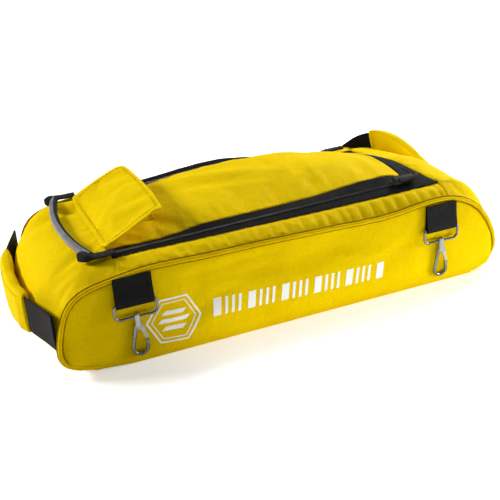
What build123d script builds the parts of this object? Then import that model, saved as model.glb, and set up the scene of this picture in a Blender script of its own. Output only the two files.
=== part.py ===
"""Clip-on shoe bag for a bowling ball roller: a soft loaf-shaped bag with a U-shaped zip,
a hook-and-loop flap, a tube pull handle, two padded end handles and four swivel snap hooks.

Frame: origin at the centre of the bottom face, +X along the bag towards the lid's free end
(the right end), -Y towards the front panel, +Z up. Millimetres.
"""
from build123d import *
from math import radians, sin, cos, atan2
import os

os.makedirs("parts", exist_ok=True)

# ---- driving dimensions -------------------------------------------------------------
half_len = 251.0        # bag half length at the piping
half_wid = 120.0        # outer face of the front and back panels
panel_h = 98.0          # height of the front panel at the piping
fabric = 2.5            # foam-backed fabric thickness
foot_r = 31.0           # bottom corner radius of the end profile
end_a = 67.0            # horizontal half axis of the shoulder ellipse
end_zc = 43.0           # height of the shoulder ellipse's centre
end_b = panel_h - end_zc            # vertical half axis at the piping
end_b_left = 63.0       # the same in the middle of the left end, where the lid hinges
end_b_right = 71.0      # and in the middle of the right end
zip_y = 99.0            # outer edge of the zip tape
webbing_w = 38.0        # webbing of the end handles and the snap hook straps
patch_t = 0.8           # hook-and-loop patches

foot_x = half_len - foot_r          # centre of the foot arc
shoulder_x = half_len - end_a       # centre of the shoulder ellipse
gusset_y = half_wid - fabric        # where the gusset meets the panels
hinge_z = end_zc + end_b_left       # height of the lid's hinge line
zip_len = 2 * shoulder_x
rise = end_b_right - end_b_left     # the zip plane rises this much over its length

SIDES = (("front", -1), ("back", 1))    # name, sign of Y
ENDS = (("left", -1), ("right", 1))     # name, sign of X


def tilted(origin, angle):
    """A level plane turned so that it climbs towards +X by the angle in radians."""
    return Plane(origin=origin, x_dir=(cos(angle), 0, sin(angle)),
                 z_dir=(-sin(angle), 0, cos(angle)))


def upright(y, z=0):
    """A plane seen from the front: its x is X, its y is Z, and it extrudes towards -Y."""
    return Plane(origin=(0, y, z), x_dir=(1, 0, 0), z_dir=(0, -1, 0))


def crosswise(x):
    """A plane across the bag: its x is Y, its y is Z, and it extrudes towards +X."""
    return Plane(origin=(x, 0, 0), x_dir=(0, 1, 0), z_dir=(1, 0, 0))


def finish(part, label):
    """Give the piece its name and write it out."""
    part.label = label
    export_step(part, "parts/" + label + ".step")


tilt = atan2(rise, zip_len)
zip_plane = tilted((-shoulder_x, 0, hinge_z), tilt)     # local x = 0 on the hinge line

# ---- panels and piping --------------------------------------------------------------
piping_half = 1.5       # half of the piping's radial width
piping_out = 2.0        # how far the piping stands out of the panel
piping_foot = 10.0      # height where the piping starts
piping_round = 1.2      # fillet on its outer face
cut_w, cut_h = 800, 100     # oversize block that clears the piping below its start


def profile_lines(grow):
    """The end profile's closed outline, moved out by grow: flat bottom, round feet,
    elliptical shoulders."""
    side = half_len + grow
    foot = foot_r + grow
    half_w, half_h = end_a + grow, end_b + grow
    top = end_zc + end_b + grow
    Line((-foot_x, -grow), (foot_x, -grow))
    CenterArc((foot_x, foot_r), foot, -90, 90)
    Line((side, foot_r), (side, end_zc))
    EllipticalCenterArc((shoulder_x, end_zc), half_w, half_h, start_angle=0, arc_size=90)
    Line((shoulder_x, top), (-shoulder_x, top))
    EllipticalCenterArc((-shoulder_x, end_zc), half_w, half_h, start_angle=90, arc_size=90)
    Line((-side, end_zc), (-side, foot_r))
    CenterArc((-foot_x, foot_r), foot, 180, 90)


# the piping's outline, added to the piping and cut out of the panels
with BuildSketch() as piping_ring:
    with BuildLine():
        profile_lines(piping_half)
    make_face()
    with BuildLine():
        profile_lines(-piping_half)
    make_face(mode=Mode.SUBTRACT)
    with Locations((0, piping_foot - cut_h / 2)):
        Rectangle(cut_w, cut_h, mode=Mode.SUBTRACT)

for side, sign in SIDES:
    with BuildPart() as piping:
        with BuildSketch(upright(sign * (half_wid + piping_out))):
            add(piping_ring.sketch)
        extrude(amount=sign * (piping_out + fabric))
        outer_face = piping.faces().sort_by(Axis.Y)[0 if sign < 0 else -1]
        fillet(outer_face.edges(), radius=piping_round)
    finish(piping.part, "piping_" + side)

    with BuildPart() as panel:
        with BuildSketch(upright(sign * half_wid)):
            with BuildLine():
                profile_lines(0)
            make_face()
            add(piping_ring.sketch, mode=Mode.SUBTRACT)
        extrude(amount=sign * fabric)
    finish(panel.part, side + "_panel")

with BuildPart() as bottom_panel:
    with BuildSketch(Plane.XY):
        Rectangle(2 * foot_x, 2 * gusset_y)
    extrude(amount=fabric)
finish(bottom_panel.part, "bottom_panel")

board_t = 3.0
board_end_gap = 6.0     # bottom panel's edge to the board's, at the ends
board_side_gap = 7.0    # and along the sides
board_corner = 12
with BuildPart() as base_board:
    with BuildSketch(Plane.XY.offset(fabric)):
        RectangleRounded(2 * (foot_x - board_end_gap), 2 * (gusset_y - board_side_gap),
                         board_corner)
    extrude(amount=board_t)
    fillet(base_board.faces().sort_by(Axis.Z)[-1].edges(), radius=0.8)
finish(base_board.part, "base_board")


# ---- gussets ------------------------------------------------------------------------
def end_band(sign, half_h):
    """One end's gusset cut across: from the bottom panel round the foot and shoulder to the
    zip. half_h is the shoulder ellipse's vertical half axis."""
    foot_from, shoulder_from = (-90, 0) if sign > 0 else (180, 90)
    foot = (sign * foot_x, foot_r)
    shoulder = (sign * shoulder_x, end_zc)
    outer, inner = sign * half_len, sign * (half_len - fabric)
    top = end_zc + half_h
    CenterArc(foot, foot_r, foot_from, 90)
    Line((outer, foot_r), (outer, end_zc))
    EllipticalCenterArc(shoulder, end_a, half_h, start_angle=shoulder_from, arc_size=90)
    Line((shoulder[0], top), (shoulder[0], top - fabric))
    EllipticalCenterArc(shoulder, end_a - fabric, half_h - fabric,
                        start_angle=shoulder_from, arc_size=90)
    Line((inner, end_zc), (inner, foot_r))
    CenterArc(foot, foot_r - fabric, foot_from, 90)
    Line((foot[0], fabric), (foot[0], 0))


for (side, sign), middle in zip(ENDS, (end_b_left, end_b_right)):
    with BuildPart() as gusset:
        for y, half_h in ((-gusset_y, end_b), (-zip_y, middle), (zip_y, middle),
                          (gusset_y, end_b)):
            with BuildSketch(upright(y)):
                with BuildLine():
                    end_band(sign, half_h)
                make_face()
        loft(ruled=True)
    finish(gusset.part, "end_gusset_" + side)

# strips between the panels' top edges and the zip
for side, sign in SIDES:
    with BuildPart() as strip:
        for x, z in ((-shoulder_x, hinge_z), (shoulder_x, hinge_z + rise)):
            with BuildSketch(crosswise(x)):
                with BuildLine():
                    Polyline((sign * gusset_y, panel_h), (sign * zip_y, z),
                             (sign * zip_y, z - fabric),
                             (sign * gusset_y, panel_h - fabric), close=True)
                make_face()
        loft(ruled=True)
    finish(strip.part, "gusset_strip_" + side)

# ---- zip ----------------------------------------------------------------------------
tape_w = 12.5           # width of one zip tape
tape_t = 1.0            # the tape's top lies on the zip plane
coil_w = 1.5
coil_gap = 0.2          # between the two closed coils
coil_up = 1.0           # coil height above the tape's top
coil_down = 0.3         # and below its underside
zip_corner = 22.0       # body coil's outer corner radius at the free end
zip_end_gap = 0.1       # zip tape to the right gusset
body_start = 0.05       # distances from the hinge line to where the pieces start
lid_start = 0.5
coil_start = 4.0

# edges, measured inwards from the body tape's outer edge
body_coil_outer = tape_w
body_coil_inner = body_coil_outer + coil_w
lid_coil_outer = body_coil_inner + coil_gap
lid_coil_inner = lid_coil_outer + coil_w
lid_edge = lid_coil_inner + tape_w
coil_mid_y = zip_y - body_coil_outer - coil_w / 2       # middle of the body coil
zip_mid_y = zip_y - body_coil_inner - coil_gap / 2      # middle of the gap between the coils

coil_low = -tape_t - coil_down
coil_h = tape_t + coil_down + coil_up


def u_lines(inset, start):
    """A flat U's closed outline on the zip plane: straight across at start, concentric round
    corners at the free end. The outermost outline, at inset 0, has square corners."""
    y = zip_y - inset
    x = zip_len / cos(tilt) - inset - zip_end_gap
    if inset > 0:
        radius = zip_corner + tape_w - inset
        Line((start, -y), (x - radius, -y))
        CenterArc((x - radius, -y + radius), radius, -90, 90)
        Line((x, -y + radius), (x, y - radius))
        CenterArc((x - radius, y - radius), radius, 0, 90)
        Line((x - radius, y), (start, y))
        Line((start, y), (start, -y))
    else:
        Polyline((start, -y), (x, -y), (x, y), (start, y), close=True)


# label, outer edge, inner edge, start, underside, height
ZIP_BANDS = (
    ("zip_tape_body", 0, body_coil_outer, body_start, -tape_t, tape_t),
    ("zip_coil_body", body_coil_outer, body_coil_inner, coil_start, coil_low, coil_h),
    ("zip_coil_lid", lid_coil_outer, lid_coil_inner, coil_start, coil_low, coil_h),
    ("zip_tape_lid", lid_coil_inner, lid_edge, lid_start, -tape_t, tape_t),
)
for label, outer, inner, start, low, height in ZIP_BANDS:
    with BuildPart() as zip_band:
        with BuildSketch(zip_plane.offset(low)):
            with BuildLine():
                u_lines(outer, start)
            make_face()
            with BuildLine():
                u_lines(inner, start - 5)       # runs past the start to leave the U open
            make_face(mode=Mode.SUBTRACT)
        extrude(amount=height)
    finish(zip_band.part, label)

stop_x = 2.4
stop_len = 3.0
with BuildPart() as zip_end_stops:
    with BuildSketch(zip_plane.offset(coil_low)):
        with Locations((stop_x, -coil_mid_y), (stop_x, coil_mid_y)):
            Rectangle(stop_len, coil_w)
    extrude(amount=coil_h + 0.3)
finish(zip_end_stops.part, "zip_end_stops")

# ---- lid ----------------------------------------------------------------------------
# distance from the hinge along the zip plane, height of the arch above its edges
CROWN = ((lid_start, 0.8), (34, 5.0), (74, 11.0), (124, 19.0), (184, 24.0), (234, 25.0),
         (284, 20.0), (319, 13.0), (341, 7.5), (zip_len - lid_edge, 3.0))
lid_y = zip_y - lid_edge
loop_patch_x = 62       # patch centre from the hinge line

# the patch is a thin layer on the lid: both are arched lofts trimmed to an outline
for label, low, high in (("lid_panel", -fabric, 0), ("lid_loop_patch", 0, patch_t)):
    with BuildPart() as arch:
        for x, crown_h in CROWN:
            station = zip_plane.from_local_coords(Vector(x, 0, 0))
            with BuildSketch(Plane(origin=station, x_dir=(0, 1, 0), z_dir=zip_plane.x_dir)):
                with BuildLine():
                    ThreePointArc((-lid_y, high), (0, crown_h + high), (lid_y, high))
                    Line((lid_y, high), (lid_y, low))
                    ThreePointArc((lid_y, low), (0, crown_h + low), (-lid_y, low))
                    Line((-lid_y, low), (-lid_y, high))
                make_face()
        loft()
        with BuildSketch(zip_plane.offset(-20)):
            if label == "lid_panel":
                with BuildLine():
                    u_lines(lid_edge, lid_start)
                make_face()
            else:
                with Locations((loop_patch_x, 0)):
                    RectangleRounded(30, 100, 3)
        extrude(amount=80, mode=Mode.INTERSECT)
    finish(arch.part, label)

# ---- flap ---------------------------------------------------------------------------
flap_angle = 21.0       # degrees above level
flap_t = 2.0
hook_patch_x = 54       # patch centre from the flap's root
# the plane of the flap's underside, with its origin at the root
flap_plane = tilted(zip_plane.from_local_coords(Vector(4.0, 0, 2.6)), radians(flap_angle))
FLAP_OUTLINE = ((0, -76), (20, -80), (54, -78), (71, -45),
                (71, 45), (54, 78), (20, 80), (0, 76))

with BuildPart() as flap_panel:
    with BuildSketch(flap_plane):
        with BuildLine():
            Polyline(*FLAP_OUTLINE, close=True)
        make_face()
        fillet(vertices().group_by(Axis.X)[-1], radius=8)
    extrude(amount=flap_t)
finish(flap_panel.part, "flap_panel")

with BuildPart() as flap_hook_patch:
    with BuildSketch(flap_plane.offset(-patch_t)):
        with Locations((hook_patch_x, 0)):
            RectangleRounded(24, 92, 3)
    extrude(amount=patch_t)
finish(flap_hook_patch.part, "flap_hook_patch")

# ---- pull handle --------------------------------------------------------------------
tube_r = 4.5
tube_x = -207           # tube ends
tube_bow = 10           # how far the tube's middle stands out beyond its ends
tube_y = 88.0           # half length of the tube
tube_z = 110.5
end_cut = 20            # width of the blocks that trim the tube's ends
tab_len = 12
tab_half_t = 2.2        # half thickness of the tabs at the tube
with BuildPart() as pull_handle_tube:
    with BuildLine() as tube_path:
        ThreePointArc((tube_x, -tube_y, tube_z), (tube_x - tube_bow, 0, tube_z),
                      (tube_x, tube_y, tube_z))
    with BuildSketch(Plane(origin=tube_path.line @ 0, z_dir=tube_path.line % 0)):
        Circle(tube_r)
    sweep(path=tube_path.line)
    # square the two ends off to the straps
    for sign in (-1, 1):
        with Locations((tube_x, sign * (tube_y + end_cut / 2), tube_z)):
            Box(40, end_cut, 40, mode=Mode.SUBTRACT)
finish(pull_handle_tube.part, "pull_handle_tube")

# X, Z outline of the webbing tab at each end of the tube
TAB_OUTLINE = ((-211, tube_z - tab_half_t), (-203, tube_z - tab_half_t),
               (-190, 107.4), (-181.5, 107.4), (-181.5, 110.6), (-190, 111.2),
               (-203, tube_z + tab_half_t), (-211, tube_z + tab_half_t))
with BuildPart() as pull_handle_webbing:
    for sign in (-1, 1):
        with BuildSketch(Plane(origin=(0, sign * tube_y, 0), x_dir=(1, 0, 0),
                               z_dir=(0, sign, 0))):
            with BuildLine():
                # the plane's own y points down on the back side
                Polyline(*[(x, -sign * z) for x, z in TAB_OUTLINE], close=True)
            make_face()
        extrude(amount=tab_len)
finish(pull_handle_webbing.part, "pull_handle_webbing")

# ---- end handles --------------------------------------------------------------------
webbing_t = 2.0
grip_t = 9.0
grip_extra = 5.0        # grip's extra width over the webbing

# stations from front to back: centre, direction along the webbing, direction of its width
LEFT_PATH = (
    ((-252.6, -114, 52), (-0.35, 1, 0), (0, 0, 1)),
    ((-259, -96, 52), (-0.38, 1, 0), (0, 0, 1)),
    ((-270, -66, 52), (-0.30, 1, 0), (0, 0, 1)),
    ((-277, -30, 52), (-0.10, 1, 0), (0, 0, 1)),
    ((-278, 0, 52), (0, 1, 0), (0, 0, 1)),
    ((-277, 30, 52), (0.10, 1, 0), (0, 0, 1)),
    ((-270, 66, 52), (0.30, 1, 0), (0, 0, 1)),
    ((-259, 96, 52), (0.38, 1, 0), (0, 0, 1)),
    ((-252.6, 114, 52), (0.35, 1, 0), (0, 0, 1)),
)
RIGHT_PATH = (
    ((252.6, -114, 52), (0.35, 1, -0.15), (0, 0.15, 1)),
    ((259, -96, 48), (0.33, 1, -0.18), (0, 0.18, 1)),
    ((266, -66, 43), (0.20, 1, -0.14), (0, 0.14, 1)),
    ((270, -32, 40), (0.06, 1, -0.02), (0, 0.02, 1)),
    ((270, 0, 43), (-0.05, 1, 0.22), (-0.08, -0.22, 1)),
    ((267, 30, 57), (-0.20, 1, 0.60), (-0.3, -0.5, 0.9)),
    ((258, 58, 78), (-0.40, 1, 0.76), (-0.6, -0.5, 0.75)),
    ((244, 84, 98), (-0.50, 1, 0.50), (-0.85, -0.5, 0.45)),
    ((232, 108, 102), (-0.50, 1, 0.0), (-0.9, -0.45, 0.3)),
)
for side, stations in (("left", LEFT_PATH), ("right", RIGHT_PATH)):
    slices = [Plane(origin=centre, x_dir=Vector(*width).cross(Vector(*along)).normalized(),
                    z_dir=Vector(*along))
              for centre, along, width in stations]
    with BuildPart() as webbing:
        for cut in slices:
            with BuildSketch(cut):
                RectangleRounded(webbing_t, webbing_w, 0.6)
        loft()
    with BuildPart() as grip:
        for cut in slices[2:7]:
            with BuildSketch(cut):
                RectangleRounded(grip_t, webbing_w + grip_extra, 3.5)
        loft()
        add(webbing.part, mode=Mode.SUBTRACT)
    finish(webbing.part, "end_handle_webbing_" + side)
    finish(grip.part, "end_handle_grip_" + side)

# ---- zip sliders --------------------------------------------------------------------
slider_x = 324.0        # along the zip plane: both sliders wait at the free end's corners
seat = coil_up + 0.1    # height of the slider's foot above the zip plane
foot_t = 3.0            # thickness of the slider's foot
cheek_y = 2.6           # the two cheeks that hold the bar, either side of the middle
bar_up = 5.2            # the pull's bar above the slider's foot
bar_r = 0.8
bar_hole_r = 0.86
pull_t = 2.6


def bar_plane(y):
    """The plane across the slider's bar at zip plane y, extruding towards +Y."""
    return Plane(origin=zip_plane.from_local_coords(Vector(slider_x, y, seat + bar_up)),
                 x_dir=(1, 0, 0), z_dir=(0, 1, 0))


for side, sign in SIDES:
    y = sign * zip_mid_y
    cheeks = ((slider_x, y - cheek_y), (slider_x, y + cheek_y))
    with BuildPart() as slider:
        with BuildSketch(zip_plane.offset(seat)):
            with Locations((slider_x, y)):
                RectangleRounded(10, 9, 2.2)
        extrude(amount=foot_t)
        with BuildSketch(zip_plane.offset(seat + foot_t)):
            with Locations(*cheeks):
                Rectangle(4.0, 1.2)
        extrude(amount=3.2)
        with BuildSketch(bar_plane(y - cheek_y)):
            Circle(bar_r)
        extrude(amount=2 * cheek_y)
    finish(slider.part, "slider_" + side)

    with BuildPart() as pull:
        with BuildSketch(zip_plane.offset(seat + bar_up - pull_t / 2)):
            with Locations((slider_x + 1.0, y)):
                Rectangle(4.8, 3.6)
            with Locations((slider_x + 14.5, y)):
                RectangleRounded(26, 8.0, 2.5)
            with Locations((slider_x + 23, y)):
                Circle(2.0, mode=Mode.SUBTRACT)
        extrude(amount=pull_t)
        # clearance for the bar and the cheeks
        with BuildSketch(bar_plane(y - 6)):
            Circle(bar_hole_r)
        extrude(amount=12, mode=Mode.SUBTRACT)
        with BuildSketch(zip_plane.offset(seat + foot_t)):
            with Locations(*cheeks):
                Rectangle(7.5, 1.6)
        extrude(amount=4.0, mode=Mode.SUBTRACT)
    finish(pull.part, "slider_pull_" + side)

# ---- snap hooks ---------------------------------------------------------------------
# built once at the middle of the front panel, then placed four times
clip_x = 174.0          # hook straps either side of the middle
strap_t = 3.0           # webbing folded double
strap_top = 94.5        # centre of the strap's rounded top, just under the piping
strap_bend = strap_top - 14         # the strap runs straight up from here
fold_r = 3.3            # outer radius of the strap's fold
fold_z = 67.6           # the loop's bar in the strap's fold
bar_y = -half_wid - 0.3 - fold_r    # the strap fold just clears the panel
wire_r = 1.5
loop_low = 52.5         # the loop's lower bar
loop_half_w = 21.3      # half the loop's width between wire centres
loop_r = 6.0            # lower corners
loop_top_r = 2.2        # upper corners, clear of the strap's fold
hub_low = 49.6
hub_high = loop_low + 2.8
rivet_r = 1.5
rivet_depth = 3.4       # how far the rivet reaches into the hook
hook_top = hub_low - 0.1            # the hook's own heights are measured from here
body_w = 4.2            # widths along Y: hook body, gate slot, gate and gate pin
slot_w = 2.3
gate_w = 2.1
pin_len = 4.8
pin_r = 0.8
pin_hole_r = 0.86       # hole in the gate
pin_x, pin_z = 3.4, -9.6            # gate pin, from the middle of the hook's collar top
bow_r = 7.4
bow_z = -30.8           # centre of the bow
bow_from = 167.8166     # angle where the hook's straight side meets its bow

with BuildPart() as clip_strap:
    with BuildSketch(crosswise(-webbing_w / 2)):
        with Locations((bar_y, fold_z)):
            Circle(fold_r)
        with BuildLine():
            Polyline((bar_y - fold_r * 0.94, fold_z + 1.1), (bar_y - 0.6, strap_bend),
                     (bar_y - 0.6, strap_top), (bar_y + 2.4, strap_top),
                     (bar_y + 2.4, strap_bend), (bar_y + fold_r * 0.94, fold_z + 1.1),
                     close=True)
        make_face()
        with Locations((bar_y + 0.9, strap_top)):
            Circle(strap_t / 2)
        with Locations((bar_y, fold_z)):
            Circle(wire_r + 0.06, mode=Mode.SUBTRACT)
    extrude(amount=webbing_w)

# wire loop with the swivel hub on its lower bar
top_arc_x, top_arc_z = loop_half_w - loop_top_r, fold_z - loop_top_r
low_arc_x, low_arc_z = loop_half_w - loop_r, loop_low + loop_r
with BuildPart() as clip_loop:
    with BuildLine(upright(bar_y)) as ring_path:
        Line((0, fold_z), (-top_arc_x, fold_z))
        CenterArc((-top_arc_x, top_arc_z), loop_top_r, 90, 90)
        Line((-loop_half_w, top_arc_z), (-loop_half_w, low_arc_z))
        CenterArc((-low_arc_x, low_arc_z), loop_r, 180, 90)
        Line((-low_arc_x, loop_low), (low_arc_x, loop_low))
        CenterArc((low_arc_x, low_arc_z), loop_r, 270, 90)
        Line((loop_half_w, low_arc_z), (loop_half_w, top_arc_z))
        CenterArc((top_arc_x, top_arc_z), loop_top_r, 0, 90)
        Line((top_arc_x, fold_z), (0, fold_z))
    with BuildSketch(Plane(origin=(0, bar_y, fold_z), x_dir=(0, 0, 1), z_dir=(1, 0, 0))):
        Circle(wire_r)
    sweep(path=ring_path.wires()[0])
    with BuildSketch(Plane.XY.offset(hub_low)):
        with Locations((0, bar_y)):
            Circle(3.3)
    extrude(amount=hub_high - hub_low)
    with BuildSketch(Plane.XY.offset(hub_low - 1)):
        with Locations((0, bar_y)):
            Circle(rivet_r + 0.06)
    extrude(amount=10, mode=Mode.SUBTRACT)

with BuildPart() as hook_body:
    # ear that carries the gate pin
    with BuildSketch(upright(bar_y + body_w / 2, hook_top)):
        with Locations((pin_x, pin_z)):
            Circle(2.3)
        with BuildLine():
            Polyline((-2.2, -1.0), (2.2, -1.0), (pin_x + 2.2, pin_z + 1.4),
                     (pin_x - 1.0, pin_z - 1.8), (-3.9, -8.6), close=True)
        make_face()
    extrude(amount=body_w)
    # collar
    with BuildSketch(Plane.XY.offset(hook_top)):
        with Locations((0, bar_y)):
            Circle(3.2)
    extrude(amount=-5.5)
    # slot for the gate
    with BuildSketch(upright(bar_y + slot_w / 2, hook_top)):
        with Locations((pin_x, pin_z)):
            Circle(2.4)
        with BuildLine():
            Polyline((pin_x - 2.4, pin_z), (pin_x + 4, pin_z), (pin_x + 4, pin_z - 8),
                     (pin_x - 3.5, pin_z - 8), close=True)
        make_face()
    extrude(amount=slot_w, mode=Mode.SUBTRACT)
    # rivet hole
    with BuildSketch(Plane.XY.offset(hook_top + 0.1)):
        with Locations((0, bar_y)):
            Circle(rivet_r)
    extrude(amount=-(rivet_depth + 0.1), mode=Mode.SUBTRACT)
    # gate pin hole
    with BuildSketch(upright(bar_y + 5, hook_top)):
        with Locations((pin_x, pin_z)):
            Circle(pin_r)
    extrude(amount=10, mode=Mode.SUBTRACT)
    # straight side, bow and tip
    with BuildLine(upright(bar_y, hook_top)) as hook_path:
        Line((-2.3, -6.4),
             (bow_r * cos(radians(bow_from)), bow_z + bow_r * sin(radians(bow_from))))
        CenterArc((0, bow_z), bow_r, bow_from, 360 - bow_from)
        Line((bow_r, bow_z), (bow_r, -23.6))
    with BuildSketch(Plane(origin=hook_path.wires()[0] @ 0, z_dir=hook_path.wires()[0] % 0)):
        Circle(2.0)
    sweep(path=hook_path.wires()[0])

rivet_low = hook_top - rivet_depth
head_low = hub_high + 0.1
with BuildPart() as swivel_rivet:
    with BuildSketch(Plane.XY.offset(rivet_low)):
        with Locations((0, bar_y)):
            Circle(rivet_r)
    extrude(amount=head_low - rivet_low)
    with BuildSketch(Plane.XY.offset(head_low)):
        with Locations((0, bar_y)):
            Circle(2.6)
    extrude(amount=1.5)
    fillet(swivel_rivet.faces().sort_by(Axis.Z)[-1].edges(), radius=0.9)

with BuildPart() as gate_pin:
    with BuildSketch(upright(bar_y + pin_len / 2, hook_top)):
        with Locations((pin_x, pin_z)):
            Circle(pin_r)
    extrude(amount=pin_len)

with BuildPart() as hook_gate:
    with BuildSketch(upright(bar_y + gate_w / 2, hook_top)):
        with Locations((pin_x, pin_z)):
            Circle(2.0)
        with BuildLine():
            Polyline((pin_x - 1.6, pin_z - 0.8), (pin_x + 1.9, pin_z - 0.5), (8.4, -19.5),
                     (8.6, -22.6), (5.8, -22.6), (5.2, -20.0), close=True)
        make_face()
        with Locations((pin_x, pin_z)):
            Circle(pin_hole_r, mode=Mode.SUBTRACT)
    extrude(amount=gate_w)

CLIP_PIECES = (("clip_strap", clip_strap), ("clip_loop", clip_loop), ("hook_body", hook_body),
               ("swivel_rivet", swivel_rivet), ("gate_pin", gate_pin), ("hook_gate", hook_gate))
for side, turn in (("front", 0), ("back", 180)):
    for end, sign in ENDS:
        place = Location((sign * clip_x, 0, 0), (0, 0, turn))
        for label, piece in CLIP_PIECES:
            finish(piece.part.moved(place), label + "_" + side + "_" + end)
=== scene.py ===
"""Looks of a clip-on shoe bag for a bowling ball roller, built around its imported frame.

The bag is a long low box. x runs from its left end to its right, y from the front (-) to the
back (+), and z up from the floor. The zip is a U in the top, closed at the right end; the lid
inside it is joined at the left. Lengths are millimetres in the frame of the part unless a
comment says metres; meshes are written in metres.
"""
import math
import bpy
import numpy as np
from mathutils import Matrix, Vector


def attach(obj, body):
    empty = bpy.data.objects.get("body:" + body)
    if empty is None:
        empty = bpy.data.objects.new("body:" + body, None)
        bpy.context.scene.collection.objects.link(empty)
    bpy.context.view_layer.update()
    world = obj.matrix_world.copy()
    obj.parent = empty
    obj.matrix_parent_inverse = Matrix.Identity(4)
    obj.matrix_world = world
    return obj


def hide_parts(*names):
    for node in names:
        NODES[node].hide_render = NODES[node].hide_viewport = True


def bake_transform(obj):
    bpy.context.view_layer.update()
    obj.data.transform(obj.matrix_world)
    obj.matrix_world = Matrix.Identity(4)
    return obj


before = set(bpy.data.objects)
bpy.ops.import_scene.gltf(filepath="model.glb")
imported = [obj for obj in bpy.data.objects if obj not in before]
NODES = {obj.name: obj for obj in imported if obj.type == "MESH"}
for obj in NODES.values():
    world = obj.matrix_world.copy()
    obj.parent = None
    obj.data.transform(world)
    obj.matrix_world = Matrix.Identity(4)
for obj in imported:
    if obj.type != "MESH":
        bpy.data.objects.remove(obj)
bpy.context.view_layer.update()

MM = 0.001
SIDES = (("front", -1), ("back", 1))

STRAP_X = 174.0         # middles of the four clip straps, either side of the middle
PANEL_Y = 120.0         # plane of the front and back panels
PANEL_TOP_Y = 118.0     # where the panels' top edges sag
END_HALF = 118.2        # half width of the end cloths
BACK_TOP = 98.0         # level the back panel's top is drawn toward
BACK_PULL = 0.45        # and how far it is drawn
ZIP_Y = 99.0            # outer edge of the zip's two legs
ZIP_END_X = 185.2       # outer edge of the zip across the right end
LEAD_INSET = 28.2       # the lid's edge, in from the zip's outer edge
LEAD_RADIUS = 7.5       # and its corner radius
LEAD_END_Z = 116.4      # height of the lid's right edge at its corners
LEAD_END_RISE = 5.5     # and how much higher its middle is

# ------------------------------------------------------------------ shapes and paths


def smooth(t):
    t = np.clip(t, 0, 1)
    return t * t * (3 - 2 * t)


def bump(x, centre, width):
    return np.exp(-((x - centre) / width) ** 2)


def add_folds(depth, across, along, rows):
    """Adds slanted ridges (height > 0) and creases (height < 0) to a depth field.

    Columns: height, slope, along where the slope is nil, across, width, middle along, reach.
    """
    for height, slope, pivot, line, width, middle, reach in rows:
        ridge = bump(across + slope * (along - pivot), line, width)
        depth = depth + height * ridge * bump(along, middle, reach)
    return depth


def curve_of(points):
    """A smooth function through (x, value) points."""
    table = np.array(sorted(points), float)
    xs = np.linspace(table[0, 0], table[-1, 0], 900)
    values = np.interp(xs, table[:, 0], table[:, 1])
    kernel = np.hanning(33)
    kernel /= kernel.sum()
    padded = np.r_[np.full(16, values[0]), values, np.full(16, values[-1])]
    values = np.convolve(padded, kernel, "valid")
    return lambda x: np.interp(x, xs, values)


def ripple(x, y, size, seed):
    """Soft, repeatable noise of about -1..1 over a plane, with features of about size."""
    random = np.random.default_rng(seed)
    total = 0.0
    for octave in range(3):
        wavelength = size / (1.7 ** octave)
        part = 0.0
        for _ in range(5):
            angle = random.uniform(0, 2 * math.pi)
            rate = 2 * math.pi / wavelength * random.uniform(0.6, 1.3)
            phase = random.uniform(0, 2 * math.pi)
            part = part + np.sin(rate * (x * math.cos(angle) + y * math.sin(angle)) + phase)
        total = total + part / 5 * (0.55 ** octave)
    return total


def lengths_along(path):
    return np.r_[0, np.cumsum(np.linalg.norm(np.diff(path, axis=0), axis=1))]


def at_length(where, lengths, values):
    """Rows of values at a length, or at several, along a path."""
    return np.stack([np.interp(where, lengths, column) for column in values.T], axis=-1)


def resample(points, count):
    path = np.array(points, float)
    lengths = lengths_along(path)
    return at_length(np.linspace(0, lengths[-1], count), lengths, path)


def rounded(points, count, passes):
    """The same path with its corners eased."""
    path = resample(points, count)
    for _ in range(passes):
        eased = path.copy()
        eased[1:-1] = 0.25 * path[:-2] + 0.5 * path[1:-1] + 0.25 * path[2:]
        path = eased
    return path


def unit_rows(vectors):
    return vectors / np.linalg.norm(vectors, axis=1)[:, None]


def frames(path, across=None):
    """Directions across and normal to a path; without across, one is carried along it."""
    tangent = unit_rows(np.gradient(path, axis=0))
    if across is None:
        side = np.zeros_like(path)
        vector = np.cross(np.array([0, 0, 1.0]), tangent[0])
        side[0] = vector = vector / np.linalg.norm(vector)
        for i in range(1, len(path)):
            vector = vector - tangent[i] * (vector @ tangent[i])
            vector /= np.linalg.norm(vector)
            side[i] = vector
    else:
        side = np.broadcast_to(np.array(across, float), path.shape)
        side = unit_rows(side - tangent * np.sum(side * tangent, axis=1)[:, None])
    return side, np.cross(tangent, side)


# ------------------------------------------------------------------ meshes


def arc_uv(points, tubular):
    """Texture coordinates in metres from the mean lengths along both directions of a grid."""
    if tubular:
        points = np.concatenate([points, points[:, :1]], axis=1)
    rows = np.linalg.norm(np.diff(points, axis=0), axis=2).mean(axis=1)
    columns = np.linalg.norm(np.diff(points, axis=1), axis=2).mean(axis=0)
    u, v = np.meshgrid(np.r_[0, np.cumsum(rows)], np.r_[0, np.cumsum(columns)], indexing="ij")
    return np.stack([u, v], axis=2) * MM


def mesh_from(name, verts, faces, uvs, mat, flat=False):
    """An object from vertices in millimetres and a list of texture corners for each face."""
    mesh = bpy.data.meshes.new(name)
    mesh.from_pydata([tuple(v) for v in np.asarray(verts) * MM], [], faces)
    layer = mesh.uv_layers.new(name="UVMap")
    corners = np.array([corner for face in uvs for corner in face], np.float32)
    layer.data.foreach_set("uv", corners.ravel())
    mesh.polygons.foreach_set("use_smooth", [not flat] * len(mesh.polygons))
    mesh.materials.append(mat)
    mesh.update()
    ob = bpy.data.objects.new(name, mesh)
    bpy.context.scene.collection.objects.link(ob)
    return ob


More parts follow.
